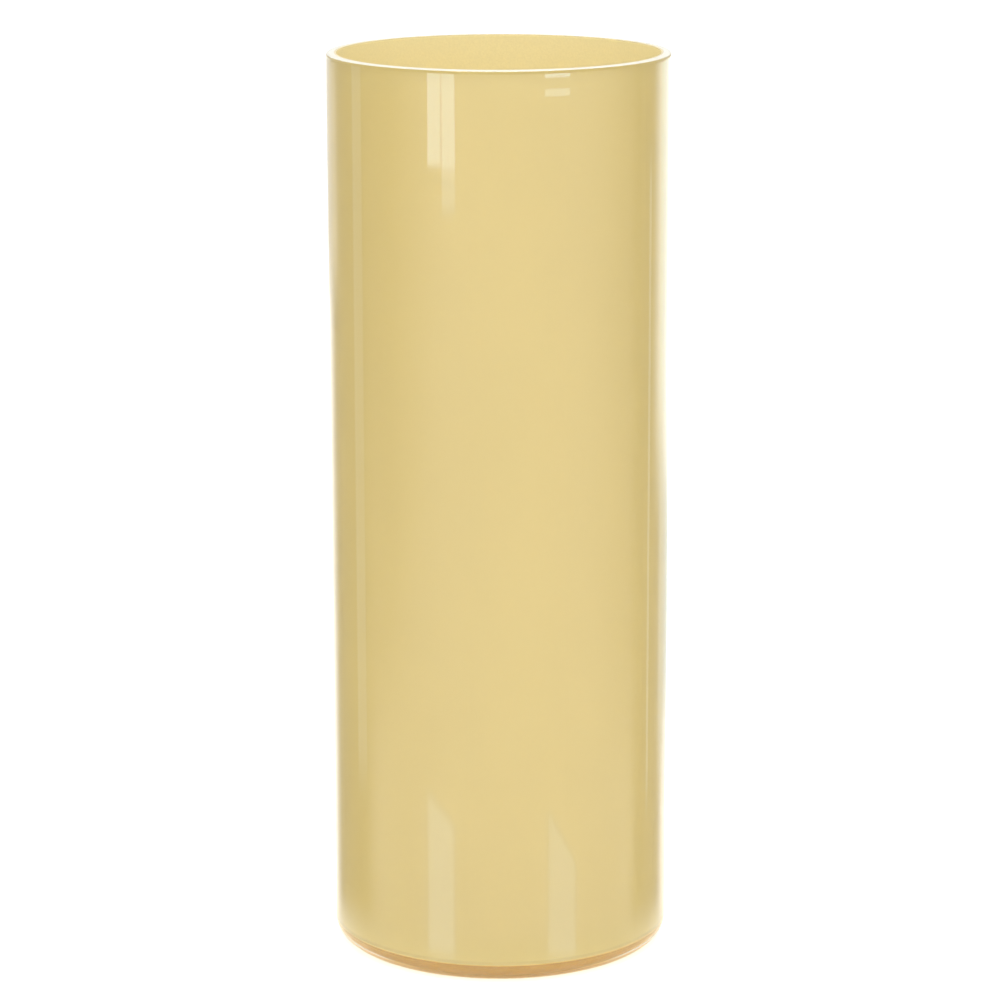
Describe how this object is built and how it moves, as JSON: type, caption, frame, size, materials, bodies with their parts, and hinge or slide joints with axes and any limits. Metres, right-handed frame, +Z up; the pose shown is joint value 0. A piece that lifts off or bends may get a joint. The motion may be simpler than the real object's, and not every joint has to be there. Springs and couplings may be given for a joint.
{
  "type": "cylinder vase",
  "caption": "Tall straight-sided glass vase for cut flowers: clear glass cased over an opaque cream lining, open at the top, with a rounded heel and a thick clear base.",
  "frame": {"origin": "middle of the base, on the surface that the vase stands on", "axes": "+Z up along the vase's axis, towards the open rim; X and Y are free, because the vase is round"},
  "size_m": [0.15, 0.15, 0.4],
  "materials": {
    "clear_casing": "clear, smooth, fire-polished",
    "cream_layer": "opaque cream yellow, satin on its inside"
  },
  "bodies": {
    "root": {"clear_casing": "clear_casing", "cream_layer": "cream_layer"}
  },
  "joints": []
}
